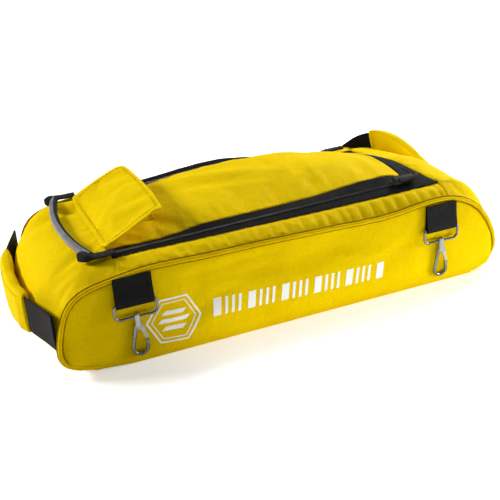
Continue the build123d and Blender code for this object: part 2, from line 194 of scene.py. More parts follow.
def sheet(name, points, mat, outward=None, thick=0.0, tubular=False, uv=None):
    """A quad grid. Normals turn away from the point outward, if one is given.

    A tubular grid is closed in its second direction and capped at both ends.
    """
    rows, columns = points.shape[:2]
    if uv is None:
        uv = arc_uv(points, tubular)
    faces, uvs = [], []
    for i in range(rows - 1):
        for j in range(columns if tubular else columns - 1):
            corners = ((i, j), (i + 1, j), (i + 1, j + 1), (i, j + 1))
            faces.append(tuple(r * columns + c % columns for r, c in corners))
            uvs.append([uv[corner] for corner in corners])
    if tubular:
        for i, turn in ((0, 1), (rows - 1, -1)):
            ring = range(columns)[::turn]
            faces.append(tuple(i * columns + j for j in ring))
            uvs.append([uv[i, j] for j in ring])
    verts = points.reshape(-1, 3)
    if outward is not None:
        quads = np.array(faces)
        normals = np.cross(verts[quads[:, 2]] - verts[quads[:, 0]],
                           verts[quads[:, 3]] - verts[quads[:, 1]])
        middles = verts[quads].mean(axis=1)
        if np.sum(normals * (middles - np.array(outward, float))) < 0:
            faces = [face[::-1] for face in faces]
            uvs = [face[::-1] for face in uvs]
    ob = mesh_from(name, verts, faces, uvs, mat)
    ob["grid"] = [rows, columns]
    if thick:
        solid(ob, thick)
    return ob


def solid(ob, thick):
    mod = ob.modifiers.new("thickness", "SOLIDIFY")
    mod.thickness = thick * MM
    mod.offset = -1.0
    mod.use_even_offset = False
    mod.use_quality_normals = True


def subdivide(ob):
    mod = ob.modifiers.new("round", "SUBSURF")
    mod.levels = 1
    mod.render_levels = 1


def tube(name, path, radius, mat, seg):
    side, normal = frames(path)
    angle = np.linspace(0, 2 * math.pi, seg, endpoint=False)
    radii = np.broadcast_to(np.array(radius, float), (len(path),))
    ring = (np.cos(angle)[None, :, None] * side[:, None]
            + np.sin(angle)[None, :, None] * normal[:, None])
    return sheet(name, path[:, None] + radii[:, None, None] * ring, mat, tubular=True)


def band(name, path, across, width, thick, mat, power, seg=28, ruffle=None):
    """A flat strip: a rounded section swept along a path. width and thick may vary along it."""
    side, normal = frames(path, across)
    count = len(path)
    width = np.broadcast_to(np.array(width, float), (count,))
    thick = np.broadcast_to(np.array(thick, float), (count,))
    angle = np.linspace(0, 2 * math.pi, seg, endpoint=False) + math.pi / seg
    # section from -0.5 to 0.5 both ways; a higher power squares its corners
    wide, deep = (np.sign(c) * np.abs(c) ** (2 / power) / 2 for c in (np.cos(angle), np.sin(angle)))
    points = (path[:, None] + side[:, None] * (width[:, None] * wide[None])[..., None]
              + normal[:, None] * (thick[:, None] * deep[None])[..., None])
    if ruffle is not None:
        points = points + ruffle(points, deep)
    uv = np.zeros((count, seg + 1, 2))
    uv[..., 0] = (lengths_along(path) * MM)[:, None]
    uv[:, :seg, 1] = width[:, None] * (wide[None] + 0.5) * MM
    uv[:, seg, 1] = uv[:, 0, 1]
    return sheet(name, points, mat, tubular=True, uv=uv)


def prisms(name, pieces, mat, flat=False):
    """One mesh of many small capped prisms, each an array of rings of points."""
    verts, faces, uvs = [], [], []
    for rings in pieces:
        base = len(verts)
        count, size = rings.shape[:2]
        verts.extend(rings.reshape(-1, 3))
        for r in range(count - 1):
            for q in range(size):
                this, following = base + r * size + q, base + r * size + (q + 1) % size
                faces.append((this, this + size, following + size, following))
                uvs.append(((0, 0), (MM, 0), (MM, MM), (0, MM)))
        last = base + (count - 1) * size
        faces.append(tuple(range(base, base + size)))
        faces.append(tuple(range(last, last + size))[::-1])
        uvs += [((0, 0),) * size] * 2
    return mesh_from(name, verts, faces, uvs, mat, flat)


def stitches(name, path, normal, mat, length=3.0, gap=1.3, width=0.55, high=0.3):
    """A row of short thread stitches lying along a path."""
    normals = np.broadcast_to(np.array(normal, float), path.shape)
    lengths = lengths_along(path)
    pieces = []
    place_along = 0.6
    while place_along + length < lengths[-1]:
        start, end = at_length(np.array([place_along, place_along + length]), lengths, path)
        up = at_length(place_along + length / 2, lengths, normals)
        up = up / np.linalg.norm(up)
        side = np.cross((end - start) / np.linalg.norm(end - start), up)
        # rings: share of the length, height; corners: half widths, share of the height
        pieces.append(np.array([
            [start + (end - start) * share + side * w * width / 2 + up * h * high
             for w, h in ((-1, -0.5), (-0.6, rise), (0.6, rise), (1, -0.5))]
            for share, rise in ((0, 0.35), (0.25, 1.0), (0.75, 1.0), (1, 0.35))]))
        place_along += length + gap
    return prisms(name, pieces, mat)


def coords(mesh):
    flat = np.zeros(len(mesh.vertices) * 3)
    mesh.vertices.foreach_get("co", flat)
    return flat.reshape(-1, 3)


def grid_of(ob):
    """The points of a sheet, in millimetres, as it was gridded."""
    rows, columns = ob["grid"]
    return coords(ob.data).reshape(rows, columns, 3) * 1000.0


def on_grid(grid, x, where, given, wanted):
    """Coordinate number wanted of a gridded cloth at x and at where on coordinate given."""
    stations = grid[:, 0, 0]
    i = int(np.clip(np.searchsorted(stations, x) - 1, 0, len(stations) - 2))
    share = (x - stations[i]) / (stations[i + 1] - stations[i])
    ends = [np.interp(where, grid[k, :, given], grid[k, :, wanted]) for k in (i, i + 1)]
    return ends[0] * (1 - share) + ends[1] * share


def rim_held(points):
    held = np.zeros(points.shape[:2])
    held[[0, -1]] = 1
    held[:, [0, -1]] = 1
    return held


def relax(ob, held, grow, pressure, cap, bend):
    """Cloth settles the sheet between its held points, moving none further than cap."""
    mesh = ob.data
    before = coords(mesh)
    group = ob.vertex_groups.new(name="held")
    group.add(np.flatnonzero(held).tolist(), 1.0, "REPLACE")
    mod = ob.modifiers.new("settle", "CLOTH")
    cloth_set = mod.settings
    cloth_set.quality = 6
    cloth_set.mass = 0.2
    cloth_set.tension_stiffness = 18
    cloth_set.compression_stiffness = 14
    cloth_set.shear_stiffness = 8
    cloth_set.bending_stiffness = bend
    cloth_set.tension_damping = 8
    cloth_set.compression_damping = 8
    cloth_set.air_damping = 2
    cloth_set.vertex_group_mass = "held"
    cloth_set.shrink_min = -grow
    cloth_set.use_pressure = True
    cloth_set.uniform_pressure_force = pressure
    cloth_set.effector_weights.gravity = 0
    mod.collision_settings.use_collision = False
    last_frame = 20
    mod.point_cache.frame_start = 1
    mod.point_cache.frame_end = last_frame
    for f in range(1, last_frame + 1):
        bpy.context.scene.frame_set(f)
    settled = ob.evaluated_get(bpy.context.evaluated_depsgraph_get())
    after = coords(settled.to_mesh())
    settled.to_mesh_clear()
    ob.modifiers.remove(mod)
    move = after - before
    move[~np.isfinite(move)] = 0
    size = np.linalg.norm(move, axis=1, keepdims=True)
    limit = cap * MM
    move = move * (limit * np.tanh(size / limit) / np.maximum(size, 1e-9))
    mesh.vertices.foreach_set("co", (before + move).ravel())
    mesh.update()
    ob.vertex_groups.remove(group)
    bpy.context.scene.frame_set(1)


def cloth(name, points, outward, held=None, uv=None, thick=2.0, **settling):
    """A settled, thickened and rounded sheet of the yellow cloth, held at its rim or as told."""
    ob = sheet(name, points, YELLOW, outward=outward, uv=uv)
    relax(ob, rim_held(points) if held is None else held, **settling)
    solid(ob, thick)
    subdivide(ob)
    return ob


def place(ob, body, slot, *nodes):
    """Puts a piece on a moving body, in place of frame nodes; slot is not used."""
    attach(ob, body)
    if nodes:
        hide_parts(*nodes)


# ------------------------------------------------------------------ materials


class Nodes:
    """A node tree. Apart from add and feed, its methods add nodes and return their output."""

    def __init__(self, tree):
        self.tree = tree

    def add(self, kind, **values):
        new = self.tree.nodes.new(kind)
        for key, value in values.items():
            if key in new.inputs:
                new.inputs[key].default_value = value
            else:
                setattr(new, key, value)
        return new

    def feed(self, value, socket):
        """Links an output to a socket, or sets the socket to a plain value."""
        if isinstance(value, bpy.types.NodeSocket):
            self.tree.links.new(value, socket)
        else:
            socket.default_value = value

    def math(self, operation, *values):
        new = self.add("ShaderNodeMath", operation=operation)
        for slot, value in enumerate(values):
            self.feed(value, new.inputs[slot])
        return new.outputs[0]

    def times(self, value, by):
        return self.math("MULTIPLY", value, by)

    def scaled(self, value, by, plus):
        return self.math("MULTIPLY_ADD", value, by, plus)

    def mix(self, first, second, share):
        new = self.add("ShaderNodeMix", data_type="RGBA")
        for value, slot in ((first, 6), (second, 7), (share, 0)):
            self.feed(value, new.inputs[slot])
        return new.outputs[2]

    def ramp(self, value, start, end):
        """0..1 as value goes from start to end."""
        new = self.add("ShaderNodeMapRange", **{"From Min": start, "From Max": end})
        self.feed(value, new.inputs["Value"])
        return new.outputs[0]

    def noise(self, vector, scale, detail=3.0, rough=0.55):
        new = self.add("ShaderNodeTexNoise", Scale=scale, Detail=detail, Roughness=rough)
        self.feed(vector, new.inputs["Vector"])
        return new.outputs[0]

    def threads(self, coord, per_metre):
        """A 0..1 rounded thread profile along one texture coordinate."""
        wave = self.math("SINE", self.scaled(coord, by=per_metre * 2 * math.pi, plus=0.0))
        return self.scaled(wave, by=0.5, plus=0.5)

    def object_coords(self):
        return self.add("ShaderNodeTexCoord").outputs["Object"]

    def uv_coords(self):
        """The texture vector and its two parts."""
        uv = self.add("ShaderNodeUVMap").outputs[0]
        split = self.add("ShaderNodeSeparateXYZ")
        self.feed(uv, split.inputs[0])
        return uv, split.outputs[0], split.outputs[1]

    def pointiness(self, start, end):
        """0..1 toward raised edges."""
        geometry = self.add("ShaderNodeNewGeometry")
        return self.ramp(geometry.outputs["Pointiness"], start, end)

    def seen(self):
        return self.add("ShaderNodeLightPath").outputs["Is Camera Ray"]


class Surface(Nodes):
    """The nodes of a new material with one Principled shader."""

    def __init__(self, name):
        self.material = bpy.data.materials.new(name)
        self.material.use_nodes = True
        super().__init__(self.material.node_tree)
        self.tree.nodes.clear()
        output = self.add("ShaderNodeOutputMaterial")
        self.shader = self.add("ShaderNodeBsdfPrincipled")
        self.feed(self.shader.outputs[0], output.inputs[0])

    def inputs(self, values):
        for key, value in values.items():
            self.feed(value, self.shader.inputs[key])

    def relief(self, *parts):
        """Chains height fields into bumps: (height, distance in metres, strength)."""
        last = None
        for height, distance, strength in parts:
            new = self.add("ShaderNodeBump", Strength=strength, Distance=distance)
            self.feed(height, new.inputs["Height"])
            if last is not None:
                self.feed(last, new.inputs["Normal"])
            last = new.outputs[0]
        self.feed(last, self.shader.inputs["Normal"])


def fabric(name, base, dark, light, pitch=1000.0, sheen=0.06, weave=0.00016, spec=0.04):
    """Plain-woven polyester: crossing threads, broad and fine mottling, paler worn ridges.

    pitch is threads per metre, and weave the depth of their relief in metres.
    """
    mat = Surface(name)
    uv, u, v = mat.uv_coords()
    where = mat.object_coords()
    warp, weft = mat.threads(u, pitch), mat.threads(v, pitch)
    over = mat.threads(mat.math("ADD", u, v), pitch / 2)
    under = mat.math("SUBTRACT", 1.0, over)
    woven = mat.math("ADD", mat.times(warp, over), mat.times(weft, under))
    broad = mat.noise(where, scale=9.0, detail=2.0)
    fine = mat.noise(where, scale=420.0, detail=2.0)
    slub = mat.noise(uv, scale=900.0, detail=1.0)
    grain = mat.noise(where, scale=760.0, detail=2.0, rough=0.7)
    colour = mat.mix(dark, base, mat.ramp(broad, start=0.28, end=0.62))
    specks = mat.ramp(fine, start=0.56, end=0.36)
    colour = mat.mix(colour, dark, mat.times(specks, by=0.55))
    fibres = mat.ramp(grain, start=0.50, end=0.72)
    colour = mat.mix(colour, light, mat.times(fibres, by=0.8))
    gaps = mat.math("SUBTRACT", 1.0, woven)
    colour = mat.mix(colour, dark, mat.times(gaps, by=0.30))
    worn = mat.pointiness(start=0.52, end=0.60)
    colour = mat.mix(colour, light, mat.times(worn, by=0.35))
    mat.inputs({
        "Base Color": colour,
        "Roughness": mat.scaled(fine, by=0.16, plus=0.62),
        "Specular IOR Level": spec,
        "Specular Tint": light,
        "Sheen Weight": sheen,
        "Sheen Roughness": 0.5,
        "Sheen Tint": light,
    })
    crumple = mat.noise(where, scale=55.0, detail=4.0, rough=0.6)
    rumple = mat.noise(where, scale=17.0, detail=1.5, rough=0.5)
    mat.relief((rumple, 0.008, 0.55), (crumple, 0.0030, 0.55), (grain, 0.0003, 0.5),
               (woven, weave, 0.7), (slub, 0.00006, 0.5))
    return mat.material


def webbing(name, base, light, ribs=620.0, spec=0.16):
    """Heavy woven tape: ribs (per metre) across it, herringbone along it, dusty high spots."""
    mat = Surface(name)
    _, u, v = mat.uv_coords()
    where = mat.object_coords()
    rib = mat.threads(u, ribs)
    stripe = mat.math("FRACT", mat.times(v, by=160.0))
    zigzag = mat.math("ABSOLUTE", mat.math("SUBTRACT", stripe, 0.5))
    twill = mat.threads(mat.math("ADD", u, zigzag), ribs * 0.5)
    body = mat.scaled(rib, by=0.6, plus=mat.times(twill, by=0.4))
    body = mat.scaled(mat.threads(v, 340.0), by=0.35, plus=body)
    dust = mat.noise(where, scale=260.0)
    fuzz = mat.noise(where, scale=1500.0, detail=2.0)
    colour = mat.mix(base, light, mat.times(body, by=0.40))
    dusty = mat.ramp(dust, start=0.5, end=0.8)
    mat.inputs({
        "Base Color": mat.mix(colour, light, mat.times(dusty, by=0.5)),
        "Roughness": mat.scaled(fuzz, by=0.2, plus=0.52),
        "Specular IOR Level": spec,
        "Sheen Weight": spec * 0.1,
    })
    mat.relief((body, 0.00035, 0.8), (fuzz, 0.00008, 0.5))
    return mat.material


def metal(name, base):
    """Plated metal, clouded, with a painted highlight on its raised edges."""
    mat = Surface(name)
    where = mat.object_coords()
    cloud = mat.noise(where, scale=120.0, detail=4.0)
    grain = mat.noise(where, scale=1400.0)
    darker = tuple(c * 0.62 for c in base[:3]) + (1,)
    colour = mat.mix(base, darker, mat.ramp(cloud, start=0.48, end=0.8))
    # painted highlight: raised edges are mixed toward pale grey
    edge = mat.times(mat.pointiness(start=0.53, end=0.62), by=0.35)
    mat.inputs({
        "Base Color": mat.mix(colour, (0.78, 0.79, 0.77, 1), edge),
        "Metallic": 1.0,
        "Roughness": mat.scaled(cloud, by=0.12, plus=0.2),
    })
    mat.relief((cloud, 0.0002, 0.25), (grain, 0.00003, 0.5))
    return mat.material


def plastic(name, base, light, rough, spec=0.5, scale=300.0):
    """Faintly clouded and grained plastic; scale sets how fine both are."""
    mat = Surface(name)
    where = mat.object_coords()
    cloud = mat.noise(where, scale=scale * 0.2)
    grain = mat.noise(where, scale=scale * 4, detail=2.0)
    mat.inputs({
        "Base Color": mat.mix(base, light, mat.ramp(cloud, start=0.35, end=0.7)),
        "Roughness": mat.scaled(grain, by=0.18, plus=rough - 0.06),
        "Specular IOR Level": spec,
    })
    mat.relief((cloud, 0.0004, 0.2), (grain, 0.00006, 0.6))
    return mat.material


YELLOW = fabric("yellow_polyester", base=(0.90, 0.645, 0.0, 1), dark=(0.80, 0.54, 0.0, 1),
                light=(1.0, 0.745, 0.005, 1))
CORD = fabric("yellow_piping_cover", base=(0.88, 0.60, 0.0, 1), dark=(0.74, 0.47, 0.0, 1),
              light=(1.0, 0.70, 0.005, 1), pitch=1250.0, sheen=0.1)
# painted shade: dark brown yellow for the thin lines beside the piping, where its folds lie in
# shade
PIPING_SHADE_PAINT = fabric("seam_shadow_fold", base=(0.36, 0.21, 0.0, 1), dark=(0.24, 0.13, 0.0, 1),
              light=(0.48, 0.30, 0.002, 1), pitch=1250.0, sheen=0.0, spec=0.02)
THREAD = fabric("yellow_thread", base=(0.70, 0.45, 0.0, 1), dark=(0.55, 0.33, 0.0, 1),
                light=(0.9, 0.62, 0.005, 1), pitch=2200.0)
WEB = webbing("black_webbing", base=(0.0035, 0.0035, 0.004, 1), light=(0.016, 0.016, 0.017, 1))
TAPE = webbing("zip_tape_weave", base=(0.0012, 0.0012, 0.0015, 1),
               light=(0.0055, 0.0055, 0.0062, 1), ribs=900.0, spec=0.06)
COIL = plastic("zip_coil_nylon", base=(0.008, 0.008, 0.009, 1), light=(0.03, 0.03, 0.032, 1),
               rough=0.38)
NICKEL = metal("nickel_plate", base=(0.30, 0.31, 0.30, 1))
GUN = plastic("slider_black_enamel", base=(0.006, 0.006, 0.0065, 1), light=(0.03, 0.03, 0.03, 1),
              rough=0.34, spec=0.35, scale=500.0)
GREY = plastic("grey_vinyl_tube", base=(0.15, 0.15, 0.155, 1), light=(0.26, 0.26, 0.265, 1),
               rough=0.30, spec=0.6)
BOARD = plastic("black_board", base=(0.018, 0.018, 0.02, 1), light=(0.05, 0.05, 0.05, 1),
                rough=0.55)
FUZZ = fabric("hook_and_loop", base=(0.74, 0.48, 0.0, 1), dark=(0.55, 0.34, 0.0, 1),
              light=(0.92, 0.64, 0.01, 1), pitch=700.0, sheen=0.5, weave=0.0005)
INK = plastic("white_screen_print", base=(0.95, 0.94, 0.84, 1), light=(1.0, 0.99, 0.93, 1),
              rough=0.5, spec=0.3, scale=500.0)

# ------------------------------------------------------------------ the bag's outline

# (x, z) of the front outline, clockwise from the foot of the left end
LEFT_SIDE = [
    (-176, 1), (-205, 2.2), (-222, 4.6), (-236, 8.5), (-246, 15), (-250.5, 23), (-251.5, 31),
    (-249.8, 41), (-247.5, 51), (-243.5, 64), (-238, 75), (-231, 82.5), (-223, 87.2),
    (-213, 90.5), (-203, 92.5), (-193, 94), (-184, 95.3)]
TOP_SIDE = [
    (-174, 97), (-164, 98), (-154, 98.8), (-124, 98.3), (-103, 97.3), (-40, 97), (4, 96),
    (50, 95), (74, 94), (98, 93.6), (123, 95), (148, 98.6), (173, 99.8)]
RIGHT_SIDE = [
    (187, 98.6), (200, 95.5), (213, 89.5), (227, 79), (239, 63), (247, 46), (250.5, 32),
    (248.5, 19), (241, 9), (229, 2.8), (204, 0)]
BELOW = [(150, 0), (60, 0.3), (-60, 0.2), (-140, 0.6)]
# the widest points, 31 and 32 high, split the outline in two
UPPER = [p for p in LEFT_SIDE if p[1] >= 31] + TOP_SIDE + [p for p in RIGHT_SIDE if p[1] >= 32]
LOWER = [p for p in LEFT_SIDE if p[1] <= 31] + BELOW + [p for p in RIGHT_SIDE if p[1] <= 32]


def outline_z(points, xs):
    table = np.array(sorted(points), float)
    return np.interp(xs, table[:, 0], table[:, 1])


# piping height along the long sides
top_line = curve_of([p for p in UPPER if -215 < p[0] < 214])


def back_line(x):
    return (1 - BACK_PULL) * top_line(x) + BACK_PULL * BACK_TOP


def sag(x, y):
    """The empty bag's top drops toward its back right corner, less so near the long edges."""
    hold = 1 - 0.6 * smooth((np.abs(y) - 100) / 18)
    return 14.0 * smooth((x - 50) / 120) * smooth((y + 20) / 115) * hold


def back_drop(x, z):
    """How much lower than the front one the back outline is; nil below z = 40."""
    pull = BACK_PULL * (top_line(x) - BACK_TOP) * (np.abs(x) < 184)
    return smooth((z - 40) / 40) * (sag(x, PANEL_TOP_Y) + pull)


# ------------------------------------------------------------------ front and back panels

# across is z and along is x; columns as in add_folds
FRONT_FOLDS = (
    (-3.2, -0.06, -60, 82, 6, -70, 70), (3.0, 0.12, -40, 57, 7, -80, 50),
    (-2.6, -0.35, -100, 44, 7, -108, 36), (1.2, 0.18, 60, 60, 6, 60, 40),
    (-1.4, 0.30, 120, 60, 6, 128, 26), (-1.5, -0.3, 120, 52, 8, 118, 34))
# across is x and along is z
LEFT_CREASE = ((-2.4, 0.5, 40, -216, 20, 48, 30),)


def panel_depth(x, z, side):
    """How far the panel stands out of its plane, with folds; the straps' places stay flat."""
    def near_straps(width):
        return np.maximum(bump(x, STRAP_X, width), bump(x, -STRAP_X, width))

    straps = near_straps(32) * smooth((z - 38) / 16)
    hooks = near_straps(24) * smooth((z - 8) / 10)
    depth = 3.4 * bump(z, 20, 22) * (1 - 0.5 * smooth((np.abs(x) - 190) / 50))
    if side < 0:
        # the long hollow in the upper half
        ends = smooth((x + 150) / 50) * smooth((115 - x) / 80)
        depth = depth - 5.6 * bump(z - 0.04 * x, 68, 15) * ends
        depth = add_folds(depth, z, x, FRONT_FOLDS)
        depth = add_folds(depth, x, z, LEFT_CREASE)
        depth = depth - 1.2 * bump(z, 12, 4) * smooth((-120 - x) / 50)
    else:
        depth = depth - 2.5 * bump(z, 66, 20) * bump(x, 20, 120)
    seed = 11 if side < 0 else 12
    depth = depth + 0.5 * ripple(x, z * 1.6, 80, seed) * (1 - straps)
    rim = smooth(z / 9) * smooth((outline_z(UPPER, x) - z) / 7) * smooth((250 - np.abs(x)) / 10)
    depth = (depth * rim * (1 - straps) * (1 - 0.9 * hooks)
             - 0.35 * straps - 0.6 * hooks * rim)
    return depth - (1 - rim)


def panel_grid(side):
    stations, levels = 170, 30
    xs = 250.8 * np.sin(np.linspace(-1, 1, stations) * math.pi / 2)
    low = outline_z(LOWER, xs)
    high = outline_z(UPPER, xs)
    if side > 0:
        high = high - back_drop(xs, high)
    t = np.linspace(0, 1, levels)
    t = t - 0.045 * np.sin(2 * math.pi * t)
    z = low[:, None] + (high - low)[:, None] * t[None]
    x = np.repeat(xs[:, None], levels, axis=1)
    return np.stack([x, side * (PANEL_Y + panel_depth(x, z, side)), z], axis=2)


panels = {}
for name, side in SIDES:
    points = panel_grid(side)
    held = rim_held(points)
    held[(np.abs(np.abs(points[..., 0]) - STRAP_X) < 24) & (points[..., 2] > 8)] = 1
    ob = cloth(name + "_panel_cloth", points, (0, 0, 50), held=held, uv=points[..., [0, 2]] * MM,
               grow=0.006, pressure=0.6, cap=1.6, bend=1.5)
    panels[side] = ob
    place(ob, "shell", "yellow_fabric", name + "_panel")

FRONT_GRID = grid_of(panels[-1])


def on_front(xs, zs, lift):
    """Points lifted off the front cloth."""
    return np.array([(x, on_grid(FRONT_GRID, x, z, given=2, wanted=1) - lift, z)
                     for x, z in zip(xs, zs)])


# ------------------------------------------------------------------ piping

PIPING_ROUTE = LEFT_SIDE[1:] + TOP_SIDE + RIGHT_SIDE[:-1]
PIPING_POINTS = 300
for name, side in SIDES:
    path = rounded(PIPING_ROUTE, PIPING_POINTS, 8)
    if side > 0:
        path[:, 1] = path[:, 1] - back_drop(path[:, 0], path[:, 1])
    k = np.arange(PIPING_POINTS)
    # both ends of the piping sink into the foot
    fade = smooth(k / 26) * smooth((PIPING_POINTS - 1 - k) / 26)
    path[:, 1] = path[:, 1] + 1.6 * (1 - fade)
    cord = np.stack([path[:, 0], side * (118.6 + 1.5 * fade), path[:, 1]], axis=1)
    radius = (2.15 + 0.12 * np.sin(k * 0.9) * np.sin(k * 0.37)) * (0.2 + 0.8 * fade)
    ob = tube("piping_cord_" + name, cord, radius, CORD, seg=12)
    place(ob, "shell", "yellow_piping", "piping_" + name)
    tangent = unit_rows(np.gradient(path, axis=0))
    away = np.stack([-tangent[:, 1], tangent[:, 0]], axis=1)
    # a thin tube of painted shade on each side of the cord, along the shaded fold there: its name,
    # distance from the cord, and y
    for shade_line_name, offset, y in (("in", -2.5, 120.2), ("out", 2.3, 118.9)):
        crease = path + away * (offset * fade)[:, None]
        points = np.stack([crease[:, 0], side * (y - 1.6 * (1 - fade)), crease[:, 1]], axis=1)
        ob = tube("piping_painted_shade_" + name + "_" + shade_line_name, points, 0.12 + 0.68 * fade, PIPING_SHADE_PAINT, seg=6)
        place(ob, "shell", "yellow_fabric")
    # the seam's thread sits beside the cord
    inner = path - away * 3.6
    if side < 0:
        points = on_front(inner[:, 0], inner[:, 1], 0.1)
    else:
        points = np.stack([inner[:, 0], np.full(PIPING_POINTS, 119.9), inner[:, 1]], axis=1)
    ob = stitches("piping_seam_" + name, points, (0, side, 0), THREAD, length=2.6, gap=1.2,
                  width=0.5, high=0.25)
    place(ob, "shell", "yellow_piping")

# ------------------------------------------------------------------ zip

# (x, z) along the zip's front and back legs, before the sag: outer edge, coil, lid's edge
outer_front = curve_of([
    (-184, 107), (-140, 107.6), (-60, 107.6), (40, 107.8), (120, 108.6), (170, 109.6),
    (188, 110.5)])
outer_back = curve_of([
    (-184, 107), (-130, 109), (-100, 111), (-74, 113.6), (-48, 116.5), (-22, 118.5), (3, 119),
    (29, 116), (56, 112), (90, 109.5), (140, 109), (188, 110.5)])
coil_front = curve_of([
    (-184, 106.3), (-120, 107.2), (-60, 108.8), (0, 110.1), (60, 111.6), (110, 113.2),
    (150, 113.4), (175, 113.4)])
coil_back = curve_of([
    (-184, 106.3), (-130, 108.2), (-90, 111), (-50, 115.0), (0, 118.0), (40, 116.0),
    (80, 112.8), (130, 112.9), (175, 113.4)])
inner_front = curve_of([
    (-184, 105.5), (-170, 105), (-149, 104.4), (-128, 104.6), (-106, 107), (-84, 110.6),
    (-62, 111), (-17, 112), (5, 112.4), (29, 113.4), (53, 114.6), (78, 117.4), (103, 119.6),
    (128, 120.4), (150, 118.6), (160, 116.5)])
inner_back = curve_of([
    (-184, 105.5), (-150, 108), (-102, 113.5), (-83, 116.5), (-64, 119), (-32, 121.4), (5, 122),
    (45, 119.4), (90, 118), (128, 119.5), (150, 118.6), (160, 116.5)])


def u_plan(inset, radius):
    """Plan of a U at inset from the zip's outer edge; every U has the same point count."""
    leg_points, arc_points, end_points = 120, 14, 44
    y = ZIP_Y - inset
    x = ZIP_END_X - inset
    leg_x = np.linspace(-183.6, x - radius, leg_points)
    leg = np.stack([leg_x, np.full(leg_points, -y)], axis=1)
    angle = np.linspace(-math.pi / 2, 0, arc_points + 2)[1:-1]
    arc = np.stack([x - radius + radius * np.cos(angle),
                    -y + radius + radius * np.sin(angle)], axis=1)
    end_y = np.linspace(-y + radius, y - radius, end_points)
    end = np.stack([np.full(end_points, x), end_y], axis=1)
    mirror = np.array([1, -1])
    return np.vstack([leg, arc, end, arc[::-1] * mirror, leg[::-1] * mirror])


def zip_edge(inset, radius, front, back, end_z, end_rise):
    """A U in space: front and back profiles on its legs, eased to an arch across its end."""
    plan = u_plan(inset, radius)
    x, y = plan[:, 0], plan[:, 1]
    legs = np.where(y < 0, front(x), back(x))
    end = end_z + end_rise * (1 - (y / np.max(np.abs(y))) ** 2)
    w = smooth((x - (x.max() - 26)) / 26)
    return np.c_[plan, legs * (1 - w) + end * w - sag(x, y)]


outer_edge = zip_edge(0, 3.0, outer_front, outer_back, end_z=110.5, end_rise=1.5)
coil_edge = zip_edge(12.5, 22.0, coil_front, coil_back, end_z=113.2, end_rise=3.0)
mid_edge = zip_edge(14.1, 20.4, coil_front, coil_back, end_z=113.2, end_rise=3.2)
inner_edge = zip_edge(LEAD_INSET, LEAD_RADIUS, inner_front, inner_back,
                      end_z=LEAD_END_Z, end_rise=LEAD_END_RISE)


def zip_tape(body, part, outer, inner, columns, rise, seed):
    t = np.linspace(0, 1, columns)[None, :, None]
    points = outer[:, None] * (1 - t) + inner[:, None] * t
    points[..., 2] += rise * np.sin(math.pi * t[..., 0])
    points[..., 2] += 0.25 * ripple(points[..., 0], points[..., 1], 24, seed)
    ob = sheet("zip_tape_" + part + "_weave", points, TAPE, outward=(0, 0, 0), thick=0.9)
    place(ob, body, "zip_tape", "zip_tape_" + part)


def zip_coil(body, part, centre, inward):
    """A row of small rounded coil turns along a path; their heads point inward."""
    pitch = 1.55
    lengths = lengths_along(centre)
    pieces = []
    place_along = 3.0
    while place_along < lengths[-1] - 3.0:
        here, ahead = at_length(np.array([place_along, place_along + 0.3]), lengths, centre)
        head = at_length(place_along, lengths, inward)
        head = head / np.linalg.norm(head)
        tangent = (ahead - here) / np.linalg.norm(ahead - here)
        up = np.cross(head, tangent)
        if up[2] < 0:
            up = -up
        # rings: place along the head, size; corners: place along the zip, height
        pieces.append(np.array([
            [here + head * out + tangent * along * 1.15 * size + up * high * size
             for along, high in ((-0.5, -0.9), (-0.5, 0.5), (0.0, 1.0), (0.5, 0.5), (0.5, -0.9))]
            for out, size in ((-1.1, 0.55), (-0.5, 1.0), (0.45, 1.0), (0.95, 0.6))]))
        place_along += pitch
    ob = prisms("zip_coil_" + part + "_turns", pieces, COIL, flat=True)
    place(ob, body, "zip_coil", "zip_coil_" + part)


zip_tape("shell", "body", outer_edge, coil_edge, columns=7, rise=0.5, seed=31)
zip_tape("lid", "lid", mid_edge, inner_edge, columns=8, rise=0.3, seed=32)
step = unit_rows(mid_edge - coil_edge)
shift = step * 0.45 + np.array([0, 0, 0.3])
zip_coil("shell", "body", coil_edge + shift, step)
zip_coil("lid", "lid", (mid_edge + shift)[1:], -step[1:])

# ------------------------------------------------------------------ long gusset strips


def gathers(xs, seed):
    """Uneven pinches along a strip."""
    random = np.random.default_rng(seed)
    total = np.zeros(len(xs))
    x = -180.0
    while x < 184:
        total += random.uniform(0.35, 1.0) * bump(xs, x, random.uniform(2.2, 4.2))
        x += random.uniform(8, 17)
    return total


def gusset_grid(side):
    """Rows of a strip from the panel's top edge to the zip's outer edge."""
    panel_y, zip_y = 118.3, 98.6
    xs = np.linspace(-185.0, 186.0, 190)
    panel_z = top_line(xs) if side < 0 else back_line(xs) - sag(xs, PANEL_TOP_Y)
    zip_z = outer_front(xs) if side < 0 else outer_back(xs) - sag(xs, ZIP_Y)
    t = np.linspace(0, 1, 13)
    points = np.zeros((len(xs), len(t), 3))
    points[..., 0] = xs[:, None]
    points[..., 1] = side * (panel_y + (zip_y - panel_y) * t[None])
    points[..., 2] = (panel_z + 0.4)[:, None] * (1 - t) + (zip_z - 0.4)[:, None] * t
    puff = (np.sin(math.pi * t) ** 0.8)[None]
    strength = 0.35 + 0.65 * smooth((xs + 40) / 160)
    pinch = (strength * gathers(xs, 5 if side < 0 else 6))[:, None]
    wave = (2.3 + 0.7 * ripple(xs, xs * 0, 60, 41 + side)[:, None]
            - 1.9 * pinch * (0.35 + 0.65 * (1 - t)[None]))
    wave = wave * smooth((xs + 187) / 26)[:, None]
    points += (puff * wave)[..., None] * np.array([0, side * 0.62, 0.78])
    # the gathers lean along the strip
    points[..., 0] += puff * side * 1.4 * (t - 0.5)[None] * strength[:, None]
    return points


